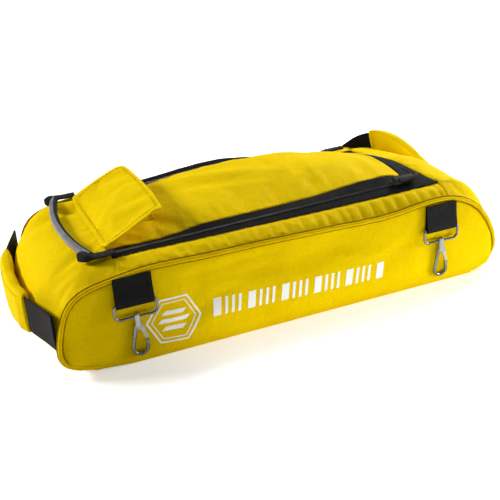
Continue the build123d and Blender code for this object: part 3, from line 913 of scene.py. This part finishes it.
gusset_grids = {}
for name, side in SIDES:
    ob = cloth("gusset_strip_cloth_" + name, gusset_grid(side), (0, 0, 50),
               grow=0.02, pressure=1.2, cap=1.6, bend=0.3)
    place(ob, "shell", "yellow_fabric", "gusset_strip_" + name)
    grid = gusset_grids[side] = grid_of(ob)
    line = grid[:, 11] * 0.6 + grid[:, 12] * 0.4 + np.array([0, 0, 0.25])
    ob = stitches("gusset_zip_seam_" + name, line, (0, side * 0.4, 1), THREAD)
    place(ob, "shell", "yellow_fabric")

# ------------------------------------------------------------------ ends

# across is y and along is the share of the way down; columns as in add_folds
LEFT_END_FOLDS = (
    (-6.5, -40, 0, 54, 9, 0.17, 0.15), (3.0, -40, 0, 74, 12, 0.20, 0.2),
    (-3.2, 60, 0.2, -66, 8, 0.16, 0.12), (-2.6, -50, 0.2, -92, 7, 0.24, 0.14))
RIGHT_END_FOLDS = ((-2.2, 40, 0.2, -74, 8, 0.22, 0.18), (-2.0, 0, 0, 20, 22, 0.3, 0.2))
END_ROWS = 60


def end_edge(sign):
    """(x, z) of the piping round one end, from the zip's height down to the foot."""
    if sign < 0:
        return rounded(LEFT_SIDE[:1:-1] + [(-219, 3.9)], END_ROWS, 2)
    return rounded([(186.5, 98.7)] + RIGHT_SIDE[1:-1] + [(219, 0.4)], END_ROWS, 2)


def end_middle(sign):
    """The same profile in the middle of the end."""
    rise = 63.0 if sign < 0 else 70.0
    points = [(184 + 67 * math.cos(a), 43 + rise * math.sin(a))
              for a in np.linspace(math.pi / 2, 0, 40)]
    points[0] = (184.0, 43 + rise + 0.6) if sign < 0 else (186.5, 43 + rise - 2.6)
    points += [(251, 31)]
    points += [(220 + 31 * math.cos(a), 31 + 31 * math.sin(a))
               for a in np.linspace(0, -math.pi / 2, 14)[1:]]
    path = rounded(points, END_ROWS, 2)
    path[:, 0] *= sign
    return path


def end_bulge(sign, down, y):
    """How far an end stands out; down goes 0..1 from the zip to the foot."""
    wide = np.abs(y)
    puff = np.sin(math.pi * np.clip(down * 1.04, 0, 1)) ** 0.8 * (1 - (wide / END_HALF) ** 2.6)
    # near the long edges, where the handle's straps are, the cloth stays against the frame
    if sign < 0:
        belly = 0.70 + 0.85 * smooth((down - 0.22) / 0.3) * smooth((100 - wide) / 40)
        bulge = add_folds(9.5 * puff * belly, y, down, LEFT_END_FOLDS)
        bulge -= 2.5 * bump(wide, 101, 5) * bump(down, 0.45, 0.22)
        bulge *= 1 - 0.75 * smooth((wide - 78) / 22) * smooth((down - 0.3) / 0.15)
    else:
        bulge = add_folds(5.0 * puff, y, down, RIGHT_END_FOLDS)
        bulge *= 1 - 0.8 * smooth((wide - 70) / 25) * smooth((down - 0.2) / 0.15)
    fade = np.sin(math.pi * down) * (1 - (wide / END_HALF) ** 4)
    return bulge + 0.7 * ripple(down * 150, y, 60, 51 + sign) * fade


def end_grid(sign):
    edge, middle = end_edge(sign), end_middle(sign)
    ys = END_HALF * np.sin(np.linspace(-1, 1, 88) * math.pi / 2 * 0.999)
    down, y = np.meshgrid(np.linspace(0, 1, END_ROWS), ys, indexing="ij")
    # share of the middle profile: straight flanks at the top, rounded ones below
    inset = END_HALF - np.abs(y)
    lower = smooth(down / 0.18)
    w = np.clip(inset / 19.4, 0, 1) * (1 - lower) + smooth(inset / 24.0) * lower
    tangent = unit_rows(np.gradient(middle, axis=0))
    bulge = end_bulge(sign, down, y)
    x = edge[:, :1] * (1 - w) + middle[:, :1] * w - sign * tangent[:, 1:] * bulge
    z = edge[:, 1:] * (1 - w) + middle[:, 1:] * w + sign * tangent[:, :1] * bulge
    if sign > 0:
        z -= sag(187.0, y) * (1 - smooth(down / 0.75))
    return np.stack([x, y, np.maximum(z, 0.25)], axis=2)


for name, sign in (("left", -1), ("right", 1)):
    ob = cloth("end_gusset_cloth_" + name, end_grid(sign), (0, 0, 45),
               grow=0.012, pressure=1.0, cap=2.2, bend=0.5)
    place(ob, "shell", "yellow_fabric", "end_gusset_" + name)

# bottom, its left corners turned up
x, y = np.meshgrid(np.linspace(-220.5, 220.5, 90), np.linspace(-119.0, 119.0, 44), indexing="ij")
z = 0.15 + 0.45 * np.abs(ripple(x, y, 120, 61)) * (1 - smooth((np.abs(y) - 100) / 18))
z += 3.2 * smooth((-176 - x) / 46) * smooth((np.abs(y) - 96) / 20)
ob = sheet("bottom_cloth", np.stack([x, y, z], axis=2), YELLOW, outward=(0, 0, 50), thick=1.8)
place(ob, "shell", "yellow_fabric", "bottom_panel")

# seams across the right ends of the gusset strips
for name, side in SIDES:
    line = gusset_grids[side][-1] + np.array([0.6, 0, 0.2])
    ob = tube("gusset_end_seam_" + name, rounded(line, 24, 1), 0.7, CORD, seg=8)
    place(ob, "shell", "yellow_fabric")

# ------------------------------------------------------------------ lid

LID_HALF = ZIP_Y - LEAD_INSET
LID_END = ZIP_END_X - LEAD_INSET
# (x, z) along the lid's middle, before the sag
crown = curve_of([
    (-184, 107.5), (-160, 109.5), (-120, 115.5), (-60, 125.5), (0, 131.5), (40, 134), (65, 134),
    (108, 130), (133, 125.5), (149, 121), (157, 117.5)])
# across is y and along is x; columns as in add_folds
LID_FOLDS = (
    (1.5, 0.42, -30, 12, 9, -55, 70), (-1.6, 0.36, -30, -10, 10, -35, 80),
    (1.1, 0.22, 10, 36, 8, -10, 90), (-1.3, -0.3, 60, 8, 14, 80, 50),
    (-1.2, 0.2, 0, -44, 12, 20, 80))


def lid_grid():
    xs = np.linspace(-183.0, LID_END, 120)
    corner = np.clip(xs - (LID_END - LEAD_RADIUS), 0, LEAD_RADIUS) / LEAD_RADIUS
    half = LID_HALF - LEAD_RADIUS * (1 - np.sqrt(1 - corner ** 2))
    crowd = math.pi / 2 * 0.92      # crowds the rows toward both edges
    t = (np.sin(np.linspace(-1, 1, 52) * crowd) / math.sin(crowd))[None]
    x = np.repeat(xs[:, None], t.size, axis=1)
    y = half[:, None] * t
    share = (y + LID_HALF) / (2 * LID_HALF)
    front, back, middle = (line(xs)[:, None] for line in (inner_front, inner_back, crown))
    end_w = smooth((xs - 131) / 26)[:, None] ** 2
    z = front * (1 - share) + back * share + (middle - (front + back) / 2) * (1 - t ** 2) ** 0.85
    z = z * (1 - end_w) + (LEAD_END_Z + LEAD_END_RISE * (1 - t ** 2)) * end_w
    inside = (smooth((LID_HALF - np.abs(y)) / 16) * smooth((x + 184) / 14)
              * smooth((158 - x) / 16))
    folds = 1.7 * add_folds(0.0, y, x, LID_FOLDS) + 0.8 * ripple(x, y, 90, 71)
    return np.stack([x, y, z + folds * inside - sag(x, y)], axis=2)


lid = cloth("lid_cloth", lid_grid(), (0, 0, 0), grow=0.010, pressure=0.6, cap=2.2, bend=0.7)
place(lid, "lid", "yellow_fabric", "lid_panel")
grid = grid_of(lid)
for name, first, second in (("front", 1, 2), ("back", -2, -3)):
    line = grid[:, first] * 0.4 + grid[:, second] * 0.6 + np.array([0, 0, 0.25])
    ob = stitches("lid_zip_seam_" + name, line, (0, 0, 1), THREAD)
    place(ob, "lid", "yellow_fabric")
x, y = np.meshgrid(np.linspace(-142, -122, 16), np.linspace(-34, 50, 40), indexing="ij")
z = np.zeros(x.shape)
for k in np.ndindex(x.shape):
    z[k] = on_grid(grid, x[k], y[k], given=1, wanted=2) + 0.7
ob = sheet("lid_loop_patch_pile", np.stack([x, y, z], axis=2), FUZZ, outward=(0, 0, 0), thick=0.9)
place(ob, "lid", "hook_loop", "lid_loop_patch")

# ------------------------------------------------------------------ flap

# the flap's upward direction; its seams and hook patch are set off along it
FLAP_UP = np.array([-0.35, 0, 0.94])


def flap_grid():
    """The flap from its root at the left (out = 0) to its tip over the lid (out = 1)."""
    out = np.linspace(0, 1, 44)[:, None]
    b = np.linspace(-1, 1, 60)[None]      # front to back
    wide = np.abs(b)
    root = np.stack([np.full_like(b, -186.5), 80 * b, 107.6 + 5.0 * smooth((wide - 0.7) / 0.3)],
                    axis=2)
    tip_y = np.where(b < 0, -66 * wide + 6 * (1 - wide), 84 * b + 6 * (1 - b))
    tip = np.stack([-119.0 - 2.5 * wide ** 3, tip_y, 139.0 + 1.5 * b + 2.0 * (1 - b * b)], axis=2)
    points = root * (1 - out[..., None]) + tip * out[..., None]
    ease = np.sin(math.pi * out)
    z = points[..., 2]
    z += (2.2 * ease * (0.6 + 0.4 * np.cos(b * math.pi / 2))
          - 3.4 * bump(out, 0.12, 0.10) * (1 - wide ** 3))
    points[..., 1] += 3.0 * ease * np.sign(b) * wide ** 4
    z += 1.4 * bump(b - 0.7 * out, -0.35, 0.12) * ease
    z -= 1.3 * bump(b + 0.5 * out, 0.62, 0.10) * ease
    z += 0.6 * ripple(points[..., 0], points[..., 1], 50, 81) * np.clip(out * 2, 0, 1)
    z -= 2.0 * smooth((out - 0.86) / 0.14) * (0.4 + 0.6 * wide)
    return points


def place_flap(ob):
    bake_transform(ob)


points = flap_grid()
held = rim_held(points)
held[1] = 1
flap = cloth("flap_cloth", points, (0, 0, -400), held=held, thick=2.2,
             grow=0.012, pressure=0.5, cap=2.0, bend=0.7)
place_flap(flap)
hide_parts("flap_panel")
grid = grid_of(flap)
place_flap(stitches("flap_root_seam", grid[3, 6:-6] + FLAP_UP * 0.25, FLAP_UP, THREAD))
hem = np.vstack([grid[3:-3, 3], grid[-4, 3:-3], grid[3:-3, -4][::-1]])
hem = rounded(hem, 160, 2) + FLAP_UP * 0.3
place_flap(stitches("flap_hem_seam", hem, FLAP_UP, THREAD))
ob = sheet("flap_hook_patch_pile", grid[24:38, 12:-12] - FLAP_UP * 2.5, FUZZ,
           outward=(0, 0, 400), thick=0.8)
place(ob, "flap", "hook_loop", "flap_hook_patch")

# ------------------------------------------------------------------ pull handle

# (x, y, z) of the tube's middle line, from front to back
PULL_ROUTE = [
    (-204, -91.5, 110.5), (-209.5, -70, 110.3), (-213.6, -45, 110.0), (-216.2, -15, 109.8),
    (-216.6, 15, 109.9), (-214.2, 45, 110.2), (-210, 70, 110.5), (-204.5, 91.5, 110.6)]
path = rounded(PULL_ROUTE, 90, 12)
ob = tube("pull_handle_vinyl", path, 4.3, GREY, seg=20)
place(ob, "pull_handle", "tube_grip", "pull_handle_tube")
# the webbing core shows along the bag's side of the tube
ob = tube("pull_handle_core", path + np.array([0.75, 0, 0.35]), 3.95, WEB, seg=14)
place(ob, "pull_handle", "black_webbing")
# (x, distance from the middle in y, z) of the strap at each end of the tube
PULL_STRAP = [(-212.5, 86.0, 110.5), (-207.5, 92.5, 110.9), (-200, 94.2, 111.0),
              (-192, 94, 110.6), (-186, 93.4, 111.0), (-180.5, 93.2, 111.2)]
for name, side in SIDES:
    points = rounded([(x, side * y, z) for x, y, z in PULL_STRAP], 40, 3)
    k = np.linspace(0, 1, 40)
    # it flattens and widens away from the tube
    width = 9.8 + 2.6 * smooth((k - 0.25) / 0.3)
    thick = 9.6 - 6.2 * smooth((k - 0.12) / 0.4)
    ob = band("pull_handle_strap_" + name, points, (0.25 * -side, 1, 0), width, thick, WEB,
              power=3.2)
    place(ob, "pull_handle", "black_webbing", *(["pull_handle_webbing"] if side < 0 else []))

# ------------------------------------------------------------------ end handles

# (x, y, z) of each strap's middle line from front to back, then its direction of width there
LEFT_ROUTE = [
    (-252.4, -116, 52), (-258, -96, 52), (-268, -66, 52), (-274.5, -30, 52), (-275.5, 0, 52),
    (-274.5, 30, 53), (-268, 66, 55), (-258, 96, 56), (-252.4, 116, 55)]
LEFT_ACROSS = [(0, 0, 1)] * len(LEFT_ROUTE)
RIGHT_ROUTE = [
    (250.6, -112, 32), (254.6, -96, 34), (262.5, -66, 38), (268.5, -32, 39.5), (270, 0, 43),
    (267, 30, 56), (259, 58, 76), (246, 86, 92), (230, 107, 95), (213, 118, 90),
    (197, 121.5, 80)]
RIGHT_ACROSS = [
    (-0.22, 0.05, 1), (-0.2, 0.05, 1), (-0.1, 0.05, 1), (-0.03, 0.02, 1), (-0.08, -0.22, 1),
    (-0.2, -0.4, 0.95), (-0.35, -0.35, 0.9), (-0.30, -0.2, 1), (-0.15, -0.05, 1),
    (-0.05, 0.0, 1), (0.1, 0.0, 1)]


def end_handle(name, sign, route, across, back_root, pad_span):
    """A webbing strap with a padded grip; back_root is not used.

    pad_span is the grip's start and end as shares of the strap.
    """
    count = 120
    body = "end_handle_" + name
    lengths = lengths_along(np.array(route, float))
    path = rounded(route, count, 14)
    across = at_length(np.linspace(0, lengths[-1], count), lengths, np.array(across, float))

    # the strap is in two halves that meet inside the pad
    front_root = ((path[0][0], -112, 40), (path[0][0], -76, 40))
    half = count // 2
    for part, cut, root in (("front", slice(0, half + 4), front_root),
                            ("back", slice(half - 4, count), back_root)):
        ob = band("end_handle_strap_" + name + "_" + part, path[cut], across[cut], 38.0, 2.2,
                  WEB, power=7.0, seg=40)
        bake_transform(ob)
        if part == "front":
            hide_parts("end_handle_webbing_" + name)

    cut = slice(*(int(count * share) for share in pad_span))
    path, across = path[cut], across[cut]
    k = np.linspace(0, 1, len(path))
    ends = smooth(k / 0.12) * smooth((1 - k) / 0.12)
    width = 43.0 + 1.5 * ends + 0.8 * np.sin(k * 21)
    thick = 7.0 + 7.0 * ends + 0.8 * np.sin(k * 17 + 1)

    def ruffle(points, deep):
        rise = 0.55 * ripple(points[..., 1], points[..., 2], 22, 91 + sign)
        return rise[..., None] * np.array([sign, 0, 0.0]) * (np.abs(deep) > 0.3)[None, :, None]

    ob = band("end_handle_pad_" + name, path, across, width, thick, YELLOW, power=3.6, seg=44,
              ruffle=ruffle)
    subdivide(ob)
    place(ob, body, "yellow_fabric", "end_handle_grip_" + name)
    side, normal = frames(path, across)
    normal = normal * np.sign(np.mean(normal[:, 0]) * sign)
    for level, edge in (("low", -1), ("high", 1)):
        line = (path + side * (edge * (width / 2 - 4.5))[:, None]
                + normal * (thick / 2 * 0.93 + 0.15)[:, None])
        ob = stitches("end_handle_seam_" + name + "_" + level, line[4:-4], normal[4:-4], THREAD)
        place(ob, body, "yellow_fabric")


end_handle("left", -1, LEFT_ROUTE, LEFT_ACROSS,
           back_root=((-252, 112, 50), (-252, 76, 50)), pad_span=(0.235, 0.765))
end_handle("right", 1, RIGHT_ROUTE, RIGHT_ACROSS,
           back_root=((199, 118, 85), (221, 118, 85)), pad_span=(0.25, 0.885))

# ------------------------------------------------------------------ clip straps

BAR_Y, FOLD_Z = -123.6, 67.6        # middle of the strap's fold
FOLD_RADIUS = 2.55


def clip_strap(key, top_z, turn):
    """A folded strap, made at the front middle and then moved by turn, with its stitching."""
    loop = [(BAR_Y + 2.0, top_z - 0.8), (BAR_Y + 2.05, 84), (BAR_Y + 2.45, 72)]
    loop += [(BAR_Y + FOLD_RADIUS * math.cos(a), FOLD_Z + FOLD_RADIUS * math.sin(a))
             for a in np.linspace(0.25, -math.pi - 0.25, 16)]
    outer = [(BAR_Y - 2.3, 72), (BAR_Y - 0.9, 80), (BAR_Y - 0.1, 86), (BAR_Y + 0.1, top_z)]
    section = resample(loop + outer, 70)
    path = np.c_[np.zeros(len(section)), section]
    web = band("clip_strap_web_" + key, path, (1, 0, 0), 38.0, 1.35, WEB, power=9.0, seg=40)
    web.data.transform(turn)
    place(web, "strap_" + key, "black_webbing", "clip_strap_" + key)

    # (x, z) of a stitched box with both diagonals
    half, high, low = 15, top_z - 3, top_z - 20
    box = resample([(-half, high), (-half, low), (half, low), (half, high), (-half, high),
                    (half, low), (half, high), (-half, low)], 160)
    ys, zs = zip(*outer)
    line = np.stack([box[:, 0], np.interp(box[:, 1], zs, ys) - 0.72, box[:, 1]], axis=1)
    seam = stitches("clip_strap_seam_" + key, line, (0, -1, 0), WEB, length=2.4, gap=1.0,
                    width=0.5, high=0.22)
    seam.data.transform(turn)
    place(seam, "strap_" + key, "black_webbing")


# name, left or right, height of the strap's top, turn about z
for key, sign, top_z, angle in (
        ("front_left", -1, 96.2, 0), ("front_right", 1, 95.9, 0),
        ("back_left", -1, 95.4, math.pi), ("back_right", 1, 95.4, math.pi)):
    turn = Matrix.Translation((sign * STRAP_X * MM, 0, 0)) @ Matrix.Rotation(angle, 4, "Z")
    clip_strap(key, top_z, turn)

# ------------------------------------------------------------------ hard pieces


def hard_finish(name):
    """Material and edge softening of a frame piece that keeps its own mesh, or None."""
    if name.startswith(("clip_loop", "hook_body", "swivel_rivet", "gate_pin", "hook_gate")):
        return NICKEL, 0.25
    if name.startswith("slider"):
        return GUN, 0.4
    return {"zip_end_stops": (GUN, 0.2), "base_board": (BOARD, 0.5)}.get(name)


for name, ob in NODES.items():
    finish = hard_finish(name)
    if finish is None:
        continue
    mat, soft = finish
    ob.data.materials.clear()
    ob.data.materials.append(mat)
    mod = ob.modifiers.new("soft edges", "BEVEL")
    mod.width = soft * MM
    mod.segments = 2
    mod.limit_method = "ANGLE"
    mod.angle_limit = math.radians(40)
    ob.data.polygons.foreach_set("use_smooth", [True] * len(ob.data.polygons))

# the back slider and its pull sit on the sagged zip
for name in ("slider_back", "slider_pull_back"):
    low = NODES[name].copy()
    low.data = NODES[name].data.copy()
    low.parent = None
    low.name = name + "_settled"
    for key in list(low.keys()):
        if key.startswith("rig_"):
            del low[key]
    drop = float(sag(140.0, 85.0)) * MM + 0.0006
    low.data.transform(Matrix.Translation((0, 0, -drop)))
    bpy.context.scene.collection.objects.link(low)
    place(low, name, "slider_metal", name)

# ------------------------------------------------------------------ printed marks

BADGE_X, BADGE_Z = -137, 38
marks, mark_faces = [], []


def print_quad(corners, nx, nz):
    """A printed four-sided patch, as a grid of (x, z) points."""
    first, second, third, fourth = np.array(corners, float)
    base = len(marks)
    stride = nz + 1
    for i in range(nx + 1):
        for j in range(nz + 1):
            f, g = i / nx, j / nz
            marks.append(first * (1 - f) * (1 - g) + second * f * (1 - g)
                         + third * f * g + fourth * (1 - f) * g)
    for i in range(nx):
        for j in range(nz):
            k = base + i * stride + j
            mark_faces.append((k + 1, k + stride + 1, k + stride, k))


def hexagon(radius):
    return [(BADGE_X + radius * math.cos(a), BADGE_Z + 0.93 * radius * math.sin(a))
            for a in [math.radians(60 * k) for k in range(6)]]


def leaning(points):
    """Slants the badge a little."""
    return [(x + 0.10 * (z - BADGE_Z), z - 0.045 * (x + 135)) for x, z in points]


# two hexagonal rings round three slanted strokes
for radii in ((29, 26.6), (23.5, 22.2)):
    outer, inner = map(hexagon, radii)
    for k in range(6):
        n = (k + 1) % 6
        print_quad(leaning((outer[k], outer[n], inner[n], inner[k])), 8, 1)
for k, half in enumerate((13.0, 17.0, 13.0)):
    z = 27.5 + k * 8.2
    left, right = BADGE_X - half, BADGE_X + half
    print_quad(leaning(((left, z), (right - 4, z), (right, z + 4.4), (left + 4, z + 4.4))), 6, 2)
# a row of upright bars, one wide and three narrow in turn
bars_start, bar_height, bar_lean = -97.0, 17.0, 3.6
x = bars_start
k = 0
while x < 92:
    width = 8.5 if k % 4 == 0 else 3.2
    z = 31.0 - 0.026 * (x - bars_start)
    top = z + bar_height
    print_quad(((x, z), (x + width, z), (x + width + bar_lean, top), (x + bar_lean, top)), 3, 5)
    x += width + (7.5 if k % 4 == 3 else 4.0)
    k += 1
flat = np.array(marks)
ob = mesh_from("front_print", on_front(flat[:, 0], flat[:, 1], 0.28), mark_faces,
               [flat[list(face)] * MM for face in mark_faces], INK)
# the print faces forward
if np.mean([polygon.normal.y for polygon in ob.data.polygons]) > 0:
    ob.data.flip_normals()
place(ob, "shell", "yellow_fabric")

# ------------------------------------------------------------------ stage


def floor_material():
    """Near-white floor that glows to the camera, more so further out."""
    mat = Surface("studio_floor")
    where = mat.object_coords()
    cloud = mat.noise(where, scale=2.0, detail=2.0)
    far = mat.add("ShaderNodeVectorMath", operation="LENGTH")
    mat.feed(where, far.inputs[0])
    distance = mat.ramp(far.outputs["Value"], start=0.45, end=1.5)
    glow = mat.scaled(distance, by=0.75, plus=0.45)
    mat.inputs({
        "Base Color": mat.mix((0.93, 0.93, 0.93, 1), (0.97, 0.97, 0.97, 1), cloud),
        "Roughness": 0.9,
        "Specular IOR Level": 0.1,
        "Emission Color": (1, 1, 1, 1),
        "Emission Strength": mat.times(mat.seen(), glow),
    })
    return mat.material


ticks = np.linspace(-1, 1, 41) * 6000.0
x, y = np.meshgrid(ticks, ticks, indexing="ij")
floor = sheet("studio_floor", np.stack([x, y, 0 * x - 0.2], axis=2), floor_material(),
              outward=(0, 0, -100))


def area(name, loc, target, size, power):
    """A disk light; places and size in metres, power in watts."""
    light = bpy.data.lights.new(name, "AREA")
    light.shape = "DISK"
    light.size = size
    light.energy = power
    ob = bpy.data.objects.new(name, light)
    ob.location = Vector(loc)
    ob.rotation_euler = (Vector(target) - Vector(loc)).to_track_quat("-Z", "Y").to_euler()
    bpy.context.scene.collection.objects.link(ob)
    return ob


area("key_left", loc=(-1.35, 0.50, 0.80), target=(-0.10, 0, 0.08), size=0.50, power=20.0)
area("fill_right", loc=(0.80, -0.44, 0.20), target=(0.20, 0, 0.05), size=0.30, power=3.1)
area("rim_right", loc=(1.05, 0.45, 0.80), target=(0.12, 0, 0.10), size=0.6, power=15.0)
area("top_back", loc=(0.10, 0.85, 1.25), target=(0, 0, 0.05), size=0.8, power=3.0)
# a low strip just in front of the bag
low = area("low_front", loc=(0.10, -0.200, 0.008), target=(0.10, -0.12, 0.014), size=0.44,
           power=0.132)
low.data.shape = "RECTANGLE"
low.data.size_y = 0.03
low.visible_camera = False
low.visible_glossy = False

# a white world, bright to the camera and dim as a light
world = bpy.data.worlds.new("studio")
bpy.context.scene.world = world
world.use_nodes = True
sky = Nodes(world.node_tree)
background = world.node_tree.nodes["Background"]
background.inputs[0].default_value = (1, 1, 1, 1)
sky.feed(sky.scaled(sky.seen(), by=0.84, plus=0.18), background.inputs[1])

# camera: its bearing round z, height angle and roll; its place in metres
bearing, tilt, roll = math.radians(21.38), math.radians(24.01), math.radians(-4.08)
camera_place = (-0.32083, -0.80870, 0.42197)
back = Vector((-math.sin(bearing) * math.cos(tilt), -math.cos(bearing) * math.cos(tilt),
               math.sin(tilt)))
level = Vector((math.cos(bearing), -math.sin(bearing), 0))
upright = back.cross(level)
right = math.cos(roll) * level + math.sin(roll) * upright
up = -math.sin(roll) * level + math.cos(roll) * upright
lens = bpy.data.cameras.new("photo_view")
lens.sensor_width = 36.0
lens.lens = 58.51296
camera = bpy.data.objects.new("photo_view", lens)
camera.matrix_world = Matrix((*zip(right, up, back, camera_place), (0, 0, 0, 1)))
bpy.context.scene.collection.objects.link(camera)
bpy.context.scene.camera = camera
bpy.context.scene.view_settings.view_transform = "Standard"
bpy.context.scene.view_settings.look = "None"
